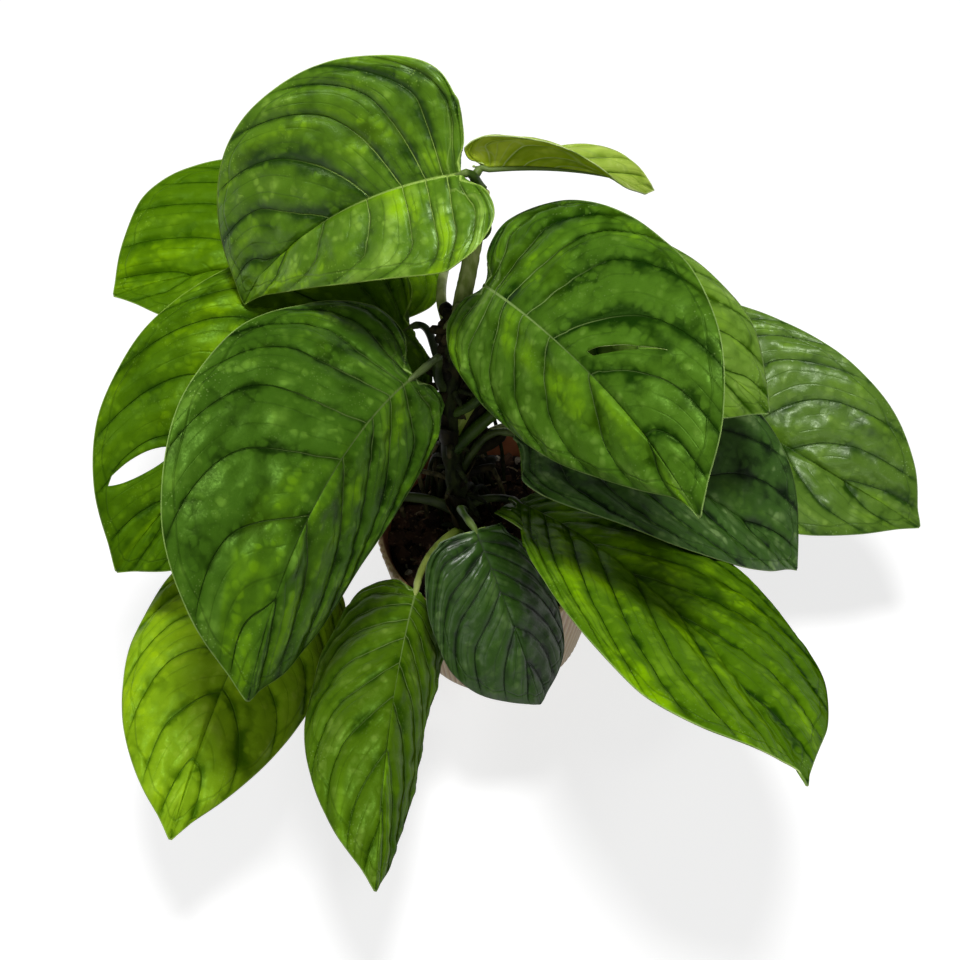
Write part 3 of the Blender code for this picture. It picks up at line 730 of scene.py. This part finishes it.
stubs = dict(count=30, seed=5, low=92, high=226, length=(4, 10), radius=(1.3, 2.1))
shape = bmesh.new()
dice = random.Random(stubs["seed"])
for index in range(stubs["count"]):  # knobs and short roots, close round the nodes
    height = stubs["low"] + (stubs["high"] - stubs["low"]) * (index + dice.random()) / stubs["count"]
    middle, t = onStem(height)
    angle = dice.uniform(0, 2 * pi)
    outward = Vector((cos(angle), sin(angle), dice.uniform(-0.5, 0.3))).normalized()
    reach = dice.uniform(*stubs["length"]) * mm * (1.15 - 0.5 * t)
    start = middle + outward * stemRadius(t) * 0.6
    sag = Vector((0, 0, -dice.uniform(0.0, 0.5) * reach))
    reach += stemRadius(t) * 0.4
    line = [start + outward * reach * s + sag * s * s for s in (0, 0.3, 0.6, 0.85, 1.0)]
    width = dice.uniform(*stubs["radius"]) * mm * (1 - 0.3 * t)
    sweep(shape, line, [width * s for s in (1.15, 1.0, 0.9, 0.7, 0.25)], 10, Vector((0.3, 0.2, 1)))
newPiece("stem_root_stubs", finishTube(shape), [stemFinish], "stem")

knobs = dict(seed=8, radius=(2.2, 3.6), clusters=[
    dict(count=26, low=178, high=220, reach=(4, 13), turn=(140, 240)),
    dict(count=32, low=124, high=178, reach=(12, 31), turn=(15, 70)),
])
shape = bmesh.new()
dice = random.Random(knobs["seed"])
for cluster in knobs["clusters"]:  # buds and old leaf bases on two sides of the stem
    for index in range(cluster["count"]):
        rise = (index + dice.random()) / cluster["count"]
        middle, t = onStem(cluster["low"] + (cluster["high"] - cluster["low"]) * rise)
        angle = radians(dice.uniform(*cluster["turn"]))
        outward = Vector((cos(angle), sin(angle), dice.uniform(-0.2, 0.5))).normalized()
        reach, width = dice.uniform(*cluster["reach"]) * mm, dice.uniform(*knobs["radius"]) * mm
        line = [middle + outward * reach * s for s in (0, 0.35, 0.7, 0.9, 1.0)]
        sweep(shape, line, [width * s for s in (0.8, 0.75, 1.0, 0.8, 0.2)], 12, Vector((0.3, 0.2, 1)),
              lambda t, angle: 1 + 0.3 * noise.noise(onRing(angle, t * 3 + index * 2.7)))
newPiece("stem_knobs", finishTube(shape), [huskFinish], "stem")

husks = dict(count=9, seed=12, low=96, high=206, length=(12, 20), wrap=150)
shape = bmesh.new()
dice = random.Random(husks["seed"])
for index in range(husks["count"]):  # dry sheaths that clasp the stem and stand off at their tips
    height = husks["low"] + (husks["high"] - husks["low"]) * (index + 0.5) / husks["count"]
    middle, t = onStem(height)
    turn = dice.uniform(0, 2 * pi)
    length = dice.uniform(*husks["length"]) * mm
    grid = bmesh.ops.create_grid(shape, x_segments=10, y_segments=8, size=1)["verts"]
    for vert in grid:
        rise = (vert.co.y + 1) / 2
        narrow = (1 - rise**2.2) * 0.94 + 0.06
        angle = turn + radians(husks["wrap"]) / 2 * vert.co.x * narrow
        crinkle = noise.noise(Vector((vert.co.x * 2, rise * 3, index * 4.1)))
        radius = stemRadius(t) * 1.05 + (0.3 + 3.4 * rise**2 + 0.9 * crinkle * rise) * mm
        vert.co = middle + Vector((cos(angle) * radius, sin(angle) * radius, rise * length))
piece = newPiece("stem_dry_sheaths", shape, [huskFinish], "stem")
wall = piece.modifiers.new("thickness", "SOLIDIFY")
wall.thickness = 0.35 * mm
print("stem made")

# petioles, each going on under its blade as the midrib
petioleForm = dict(
    foot=2.75, tip=1.43, rib=1.15, ribTip=0.22, steps=46, ribSteps=30, sides=16, ribReach=0.86,
    end=1.1, sink=0.6,  # how far it ends before the notch, and lies below the blade
    knee=0.22, kneeAt=0.93, kneeSpan=0.05,  # the joint below the blade
)
petioleTones = {  # dark, light and knee colours
    "grey": ((26, 38, 10), (62, 76, 34), (84, 100, 52)),
    "fresh": ((84, 104, 26), (132, 148, 64), (158, 172, 96)),
    "green": ((30, 50, 8), (60, 84, 24), (104, 126, 60)),
    "pale": ((134, 154, 60), (188, 204, 118), (206, 218, 150)),
}
petioleTone = {"leaf_02": "green", "leaf_03": "pale", "leaf_07": "fresh", "leaf_08": "green",
               "leaf_09": "green", "leaf_12": "fresh", "leaf_01": "green"}


def direction(heading, pitch):
    plan = cos(radians(pitch))
    return Vector((sin(radians(heading)) * plan, cos(radians(heading)) * plan, sin(radians(pitch))))


def bezier(start, leave, arrive, end, count):
    line = []
    for step in range(count):
        t = step / (count - 1)
        s = 1 - t
        line.append(start * s**3 + leave * (3 * s * s * t) + arrive * (3 * s * t * t) + end * t**3)
    return line


def petioleLine(leaf):
    height, leaving, under, reach = leaf["petiole"]
    start = onStem(height)[0]
    midrib = direction(leaf["heading"], leaf["pitch"])
    across = direction(leaf["heading"] + 90, 0)
    upward = across.cross(midrib) * cos(radians(leaf["roll"])) + across * sin(radians(leaf["roll"]))
    arriving = midrib * cos(radians(under)) + upward * sin(radians(under))
    end = Vector(leaf["notch"]) * mm - arriving * petioleForm["end"] * mm
    handle = (end - start).length * reach
    line = bezier(start, start + direction(*leaving) * handle, end - arriving * handle, end,
                  petioleForm["steps"])
    return line, upward


def makePetioleFinish(tone, dark, light, knee):
    finish, tree, shader = newFinish(f"{tone} petiole skin", 0.45, 0.2)
    place = objectPlace(tree)
    flecks = placeGroup(tree, fleckGroup, {"Vector": place, "Seed": 3.0, "Size": 1.1})
    drift = addNoise(tree, place, 70.0, 3.0)
    colour = mixColours(tree, fade(tree, drift, 0.38, 0.62), paint(*dark), paint(*light))
    along = readAttribute(tree, "along")
    kneeShare = times(tree, fade(tree, along, 0.50, 0.58), 0.8)
    colour = mixColours(tree, kneeShare, colour, paint(*knee))
    colour = mixColours(tree, times(tree, flecks["Fleck"], 0.4), colour, paint(*knee))
    wire(tree, shader, Base_Color=colour, Normal=bumpFrom(tree, flecks["Grain"], 0.35, 0.3 * mm))
    return finish


petioleFinishes = {tone: makePetioleFinish(tone, *colours) for tone, colours in petioleTones.items()}
for name, leaf in leaves.items():
    form = petioleForm
    line, upward = petioleLine(leaf)
    ribs = []
    for step in range(1, form["ribSteps"] + 1):
        t = step / form["ribSteps"]
        along = t * form["ribReach"] * leaf["length"] * mm
        here = bladePoint(leaf, 0, along)
        ahead = bladePoint(leaf, 0, along + mm) - here
        side = bladePoint(leaf, mm, along) - bladePoint(leaf, -mm, along)
        below = side.cross(ahead).normalized()
        ribRadius = form["rib"] + (form["ribTip"] - form["rib"]) * t
        sink = (ribRadius + form["sink"]) / cos(radians(leaf["fold"]))
        ribs.append((here - below * sink * mm, ribRadius * mm))
    radii = []
    for step in range(form["steps"]):
        t = step / (form["steps"] - 1)
        knee = form["knee"] * exp(-((t - form["kneeAt"]) / form["kneeSpan"]) ** 2)
        radii.append((form["foot"] + (form["tip"] - form["foot"]) * t) * (1 + knee) * mm)
    wholeLine = line + [point for point, radius in ribs]
    wholeRadii = radii + [radius for point, radius in ribs]
    tubeShare = form["steps"] / len(wholeLine)
    phase = leaf["seed"]

    def petioleOutline(t, angle):
        groove = 0.26 * exp(-((angle - pi / 2) / 0.5) ** 2) * max(0, 1 - t / tubeShare)
        bumps = 0.07 * noise.noise(onRing(angle, t * 30 + phase))
        return 1 - groove + bumps * max(0, 1 - t)

    shape = bmesh.new()
    sweep(shape, wholeLine, wholeRadii, form["sides"], upward, petioleOutline)
    tone = petioleFinishes[petioleTone.get(name, "grey")]
    newPiece(f"{name}_petiole_skin", finishTube(shape), [tone], "petiole", f"{name}_petiole")

stumpSteps = 30
stumps = {  # what is left of two lost leaves
    "leaf_stump": dict(line=[(-21, 3, 146), (-12, 7, 155), (-2, 12, 162), (8, 18, 166), (16, 22, 166)],
                       radius=3.2, tone="green"),
    "leaf_stump_low": dict(line=[(-21, 2, 132), (-12, 16, 134), (-4, 18, 140), (4, 17, 146), (13, 16, 149)],
                           radius=2.5, tone="pale"),
}
for name, stump in stumps.items():
    shape = bmesh.new()
    line = smoothLine([Vector(point) * mm for point in stump["line"]], stumpSteps)
    radii = [stump["radius"] * (1.1 - 0.3 * step / (stumpSteps - 1)) * mm for step in range(stumpSteps)]
    sweep(shape, line, radii, petioleForm["sides"],
          outline=lambda t, angle: 1 + 0.08 * noise.noise(onRing(angle, t * 5)))
    newPiece(name, finishTube(shape), [petioleFinishes[stump["tone"]]], "petiole")
print("petioles made")

# aerial roots: height on the stem, then the points they pass, down into the mix
mix = dict(height=78, rings=34, sides=110, lumps=2.6, seed=31)
roots = {
    "aerial_root_1": (160, [(-33, 12, 150), (-39, 14, 120), (-37, 12, 95), (-36, 10, 74)]),
    "aerial_root_2": (142, [(-12, 12, 134), (-4, 15, 118), (3, 14, 98), (5, 13, 74)]),
    "aerial_root_3": (148, [(-30, 16, 134), (-32, 20, 110), (-28, 19, 90), (-27, 18, 74)]),
    "aerial_root_4": (176, [(-17, 22, 168), (-14, 28, 140), (-12, 28, 100), (-12, 27, 74)]),
    "aerial_root_5": (124, [(-31, 2, 128), (-43, 6, 125), (-50, 11, 106), (-47, 12, 74)]),
}
rootForm = dict(radius=1.3, steps=70, sides=12)
for name, (height, route) in roots.items():
    stops = [onStem(height)[0], *[Vector(point) * mm for point in route]]
    line = smoothLine(stops, rootForm["steps"])
    for step, point in enumerate(line[6:-2]):  # a slight crook now and then
        crook = noise.noise_vector(point * 90) * 0.7 * mm
        line[step + 6] = point + Vector((crook.x, crook.y, 0))

    def rootOutline(t, angle):
        return 0.94 + 0.12 * noise.noise(Vector((cos(angle) * 0.8, sin(angle) * 0.8, t * 24 + height)))

    shape = bmesh.new()
    sweep(shape, line, [rootForm["radius"] * mm] * rootForm["steps"], rootForm["sides"], outline=rootOutline)
    newPiece(f"{name}_skin", finishTube(shape), [rootFinish], "aerial_root", name)

oldRoots = dict(count=30, seed=14, low=112, high=204, radius=(0.9, 1.9), spread=(-26, 28), back=(4, 40),
                feet=36, steps=30)  # their feet stay this near to the pot's axis
shape = bmesh.new()
dice = random.Random(oldRoots["seed"])
for index in range(oldRoots["count"]):  # a bundle of older roots and leaf stubs hanging behind the stem
    rise = (index + dice.random()) / oldRoots["count"]
    start = onStem(oldRoots["low"] + (oldRoots["high"] - oldRoots["low"]) * rise)[0]
    x, y = dice.uniform(*oldRoots["spread"]), dice.uniform(*oldRoots["back"])
    foot = Vector((start.x + x * mm, start.y + y * mm, 0))
    foot *= min(1, oldRoots["feet"] * mm / foot.length)
    foot.z = (mix["height"] - 3) * mm
    bulge = Vector((dice.uniform(-6, 6), dice.uniform(2, 10), 0)) * mm
    high, low = start.lerp(foot, 0.35) + bulge + Vector((0, 0, 9 * mm)), start.lerp(foot, 0.75) + bulge
    steps = oldRoots["steps"]
    line = smoothLine([start, high, low, foot], steps)
    width = dice.uniform(*oldRoots["radius"]) * mm
    sweep(shape, line, [width * (1.2 - 0.3 * step / (steps - 1)) for step in range(steps)], 10,
          outline=lambda t, angle: 1 + 0.2 * noise.noise(onRing(angle, t * 9 + index)))
newPiece("old_roots", finishTube(shape), [stemFinish], "aerial_root")
print("aerial roots made")

# pot: a ribbed taper, turned and then fluted
pot = dict(
    height=92, rim=61, base=46, wall=3.4, floor=5, footBevel=2, rimBevel=1.2,
    ribs=90, ribDepth=0.75, stepsPerRib=6, drainRadius=4, drainCircle=24, drainHoles=3,
)


def potRadius(height):
    return pot["base"] + (pot["rim"] - pot["base"]) * height / pot["height"]


def makePotFinish():
    finish, tree, shader = newFinish("cream glaze", 0.42, 0.5)
    place = objectPlace(tree)
    flecks = placeGroup(tree, fleckGroup, {"Vector": place, "Size": 1.3, "Seed": 8.0})
    cloud = addNoise(tree, place, 22.0, 4.0)
    crest = readAttribute(tree, "crest")
    glaze = mixColours(tree, fade(tree, crest, 0.15, 0.85), paint(182, 142, 106), paint(212, 184, 138))
    glaze = mixColours(tree, times(tree, fade(tree, cloud, 0.35, 0.7), 0.5), glaze,
                       paint(200, 176, 118))
    glaze = mixColours(tree, times(tree, flecks["Fleck"], 0.35), glaze, paint(150, 112, 74))
    clay = mixColours(tree, fade(tree, cloud, 0.4, 0.6), paint(122, 66, 34), paint(158, 92, 50))
    inside = readAttribute(tree, "inside")
    colour = mixColours(tree, inside, glaze, clay)
    height = plus(tree, flecks["Grain"], times(tree, cloud, 0.6))
    wire(tree, shader, Base_Color=colour, Roughness=fade(tree, inside, 0.2, 0.8, 0.42, 0.85),
         Normal=bumpFrom(tree, height, 0.25, 0.3 * mm))
    return finish


shape = bmesh.new()
crest = shape.verts.layers.float.new("crest")
inside = shape.verts.layers.float.new("inside")
top, wall = pot["height"], pot["wall"]
profile = [(0, 0), (30, 0), (pot["base"] - pot["footBevel"], 0), (pot["base"] - 0.6, 0.6), (pot["base"], 2)]
profile += [(potRadius(height), height) for height in (4, 8, 16, 28, 40, 52, 64, 76, 84, 88)]
profile += [(pot["rim"], top - pot["rimBevel"]), (pot["rim"] - 0.35, top - 0.35),
            (pot["rim"] - pot["rimBevel"], top), (pot["rim"] - wall + pot["rimBevel"], top),
            (pot["rim"] - wall + 0.35, top - 0.35), (pot["rim"] - wall, top - pot["rimBevel"])]
outerStops = len(profile) - 3
profile += [(potRadius(height) - wall, height) for height in (84, 70, 50, 30, 14)]
profile += [(potRadius(pot["floor"]) - wall - 1.5, pot["floor"] + 1.5), (potRadius(pot["floor"]) - wall - 5,
            pot["floor"]), (30, pot["floor"]), (0, pot["floor"])]
corners = addCorners(shape, profile)
for index, corner in enumerate(corners):
    corner[inside] = 1.0 if index > outerStops else 0.0
spinRound(shape, corners, pot["ribs"] * pot["stepsPerRib"])
for vert in shape.verts:
    radius = Vector(vert.co.xy).length / mm
    height = vert.co.z / mm
    outside = radius > potRadius(height) - 1.3 and height > 1
    flute = 0.5 - 0.5 * cos(pot["ribs"] * atan2(vert.co.y, vert.co.x))
    vert[crest] = 1 - flute**1.6 if outside else 0.6
    if outside:
        depth = pot["ribDepth"] * flute**1.6 * min((height - 1) / 3, 1)
        vert.co.xy *= (radius - depth) / radius
bmesh.ops.recalc_face_normals(shape, faces=shape.faces)
potPiece = newPiece("pot_ribbed", shape, [makePotFinish()], "pot", "pot")
drains = bmesh.new()
for hole in range(pot["drainHoles"]):
    turn = 2 * pi * hole / pot["drainHoles"]
    place = Matrix.Translation((pot["drainCircle"] * cos(turn) * mm, pot["drainCircle"] * sin(turn) * mm, 0))
    bmesh.ops.create_cone(drains, cap_ends=True, segments=28, radius1=pot["drainRadius"] * mm,
                          radius2=pot["drainRadius"] * mm, depth=4 * pot["floor"] * mm, matrix=place)
cutter = addObject("drains", meshFrom("drains", drains))
cut = potPiece.modifiers.new("drains", "BOOLEAN")
cut.operation = "DIFFERENCE"
cut.object = cutter
potPiece.data = bpy.data.meshes.new_from_object(
    potPiece.evaluated_get(bpy.context.evaluated_depsgraph_get()))
potPiece.modifiers.clear()
bpy.data.objects.remove(cutter)
potPiece.data.shade_smooth()
potPiece.data.set_sharp_from_angle(angle=radians(50))
print("pot made")

# potting mix: a lumpy bed with bark chips, grit and fine dead roots on it

def makeMixFinish(name, dark, light, pale, scale):
    finish, tree, shader = newFinish(name, 0.88, 0.25)
    place = objectPlace(tree)
    crumbs = addNode(tree, "TexVoronoi", {"Vector": place, "Scale": scale})
    grain = addNoise(tree, place, scale * 2, 4.0)
    tone = addNode(tree, "SeparateXYZ", {0: crumbs.outputs["Color"]}).outputs[0]
    colour = mixColours(tree, tone, paint(*dark), paint(*light))
    colour = mixColours(tree, fade(tree, grain, 0.56, 0.72), colour, paint(*pale))
    height = minus(tree, grain, crumbs.outputs["Distance"])
    wire(tree, shader, Base_Color=colour, Normal=bumpFrom(tree, height, 0.8, 1.0 * mm))
    return finish


bedFinish = makeMixFinish("potting mix", (14, 8, 6), (40, 26, 18), (70, 54, 40), 320.0)
chipFinish = makeMixFinish("bark chip", (28, 17, 11), (76, 52, 36), (122, 98, 74), 210.0)
gritFinish = makeMixFinish("pumice grit", (120, 110, 96), (166, 156, 140), (196, 188, 174), 500.0)
fibreFinish = makeMixFinish("fine dead root", (110, 96, 72), (160, 144, 114), (190, 178, 150), 600.0)

edge = potRadius(mix["height"]) - pot["wall"] - 0.6
footRadius = potRadius(pot["floor"]) - pot["wall"] - 0.6
profile = [(0, pot["floor"] + 0.3), (footRadius, pot["floor"] + 0.3), (edge - 2, mix["height"] - 12)]
profile += [(edge, mix["height"] - 0.4)]
profile += [(edge * (1 - ring / mix["rings"]), mix["height"]) for ring in range(1, mix["rings"] + 1)]
shape = bmesh.new()
spinRound(shape, addCorners(shape, profile), mix["sides"])


def bedLift(x, y):  # the bed's lumps, in millimetres
    place = Vector((x, y, mix["seed"]))
    return mix["lumps"] * (0.55 * noise.noise(place * 0.09) + 0.45 * noise.noise(place * 0.3)
                           + 0.25 * noise.noise(place * 0.8))


for vert in shape.verts:
    if vert.co.z > (mix["height"] - 0.1) * mm:
        vert.co.z += bedLift(vert.co.x / mm, vert.co.y / mm) * mm
bmesh.ops.recalc_face_normals(shape, faces=shape.faces)
newPiece("potting_mix_bed", shape, [bedFinish], "potting_mix", "potting_mix")


def scatter(name, finish, count, sizes, flat, seed, sink):
    dice = random.Random(seed)
    shape = bmesh.new()
    for index in range(count):
        turn, reach = dice.uniform(0, 2 * pi), (edge - 3) * dice.random() ** 0.5
        x, y = reach * cos(turn), reach * sin(turn)
        size = dice.uniform(*sizes)
        block = bmesh.ops.create_cube(shape, size=1)["verts"]
        sides = list(dict.fromkeys(link for vert in block for link in vert.link_edges))
        bmesh.ops.bevel(shape, geom=sides, offset=0.22, segments=1, profile=0.5, affect="EDGES", material=-1)
        block = shape.verts[-24:]
        for vert in block:
            vert.co += noise.noise_vector(vert.co * 1.7 + Vector((index * 3.1, 0, 0))) * 0.22
        stretch = Vector((size, size * dice.uniform(0.4, 0.8), size * flat * dice.uniform(0.7, 1.3)))
        lean = Matrix.Rotation(dice.uniform(0, 2 * pi), 4, "Z")
        lean = lean @ Matrix.Rotation(dice.uniform(-0.5, 0.5), 4, "X")
        height = mix["height"] + bedLift(x, y) + stretch.z * sink
        place = Matrix.Translation(Vector((x, y, height)) * mm) @ lean @ Matrix.Diagonal((*stretch * mm, 1))
        bmesh.ops.transform(shape, matrix=place, verts=block)
    bmesh.ops.recalc_face_normals(shape, faces=shape.faces)
    piece = newPiece(name, shape, [finish], "potting_mix")
    piece.data.set_sharp_from_angle(angle=radians(40))


scatter("bark_chips", chipFinish, 230, (6, 13), 0.32, 3, 0.35)
scatter("bark_crumbs", bedFinish, 260, (3, 6), 0.6, 9, 0.2)
scatter("pumice_grit", gritFinish, 46, (2.4, 4.2), 0.8, 4, 0.3)

fibres = dict(count=26, seed=17, radius=0.45)
shape = bmesh.new()
dice = random.Random(fibres["seed"])
for index in range(fibres["count"]):
    turn, reach = dice.uniform(0, 2 * pi), (edge - 10) * dice.random() ** 0.5
    point = Vector((reach * cos(turn), reach * sin(turn), 0))
    heading = dice.uniform(0, 2 * pi)
    stops = []
    for bend in range(6):
        lift = mix["height"] + bedLift(point.x, point.y) + 1.6 + 1.8 * dice.random() * sin(pi * bend / 5)
        stops.append(Vector((point.x, point.y, lift)) * mm)
        heading += dice.uniform(-0.8, 0.8)
        point += Vector((cos(heading), sin(heading), 0)) * 4.5
        if point.length > edge - 4:
            heading += pi / 2
            point *= (edge - 6) / point.length
    sweep(shape, smoothLine(stops, 22), [fibres["radius"] * dice.uniform(0.6, 1.3) * mm] * 22, 6,
          Vector((0.1, 0.2, 1)))
newPiece("dead_root_fibres", finishTube(shape), [fibreFinish], "potting_mix")
print("potting mix made")

# floor, light and camera
studio = dict(floor=6.0, glow=0.74, walls=0.28, ceiling=0.1)  # glow, walls and ceiling are light levels
lamps = {  # metres and watts
    "key": dict(place=(0.02, -0.02, 1.62), size=0.36, power=18.5),
    "fill": dict(place=(0.15, -1.4, 1.1), size=0.8, power=3.8),
    "side": dict(place=(-1.0, -0.25, 1.3), size=0.35, power=3.4),
}

floorFinish, tree, shader = newFinish("white floor", 0.7, 0.2)
rays = addNode(tree, "LightPath").outputs
seen = calc(tree, "MAXIMUM", calc(tree, "MAXIMUM", rays["Is Camera Ray"], rays["Is Glossy Ray"]),
            rays["Is Transmission Ray"])
wire(tree, shader, Base_Color=mixColours(tree, seen, paint(120, 120, 120), paint(170, 170, 170)))
glow = addNode(tree, "Emission", {"Color": (1, 1, 1, 1), "Strength": times(tree, seen, studio["glow"])})
both = addNode(tree, "AddShader", {0: shader.outputs[0], 1: glow.outputs[0]})
tree.links.new(both.outputs[0], tree.nodes["Material Output"].inputs["Surface"])
shape = bmesh.new()
bmesh.ops.create_grid(shape, x_segments=1, y_segments=1, size=studio["floor"])
floorPiece = addObject("floor", meshFrom("floor", shape, [floorFinish]))


def addLamp(name, place, size, power, target=Vector((0, 0, 0.16))):
    lamp = bpy.data.lights.new(name, "AREA")
    lamp.shape = "DISK"
    lamp.size = size
    lamp.energy = power
    holder = addObject(name, lamp)
    holder.location = place
    holder.rotation_euler = (Vector(place) - target).to_track_quat("Z", "Y").to_euler()


for name, lamp in lamps.items():
    addLamp(name, **lamp)

world = bpy.data.worlds.new("studio")
bpy.context.scene.world = world
world.use_nodes = True
tree = world.node_tree
sky = addNode(tree, "TexCoord").outputs["Generated"]
height = addNode(tree, "SeparateXYZ", {0: sky}).outputs[2]
level = fade(tree, height, 0.2, 0.55, studio["walls"], studio["ceiling"])
tree.links.new(level, tree.nodes["Background"].inputs["Strength"])
tree.nodes["Background"].inputs["Color"].default_value = (1, 1, 1, 1)

view = dict(place=(-0.009, -0.447, 0.698), tilt=38, lens=56.25, sensor=36)
camera = bpy.data.cameras.new("camera")
camera.lens = view["lens"]
camera.sensor_width = view["sensor"]
cameraHolder = addObject("camera", camera)
cameraHolder.location = view["place"]
cameraHolder.rotation_euler = (radians(view["tilt"]), 0, 0)
bpy.context.scene.camera = cameraHolder
bpy.context.scene.view_settings.view_transform = "Standard"
print("studio ready")
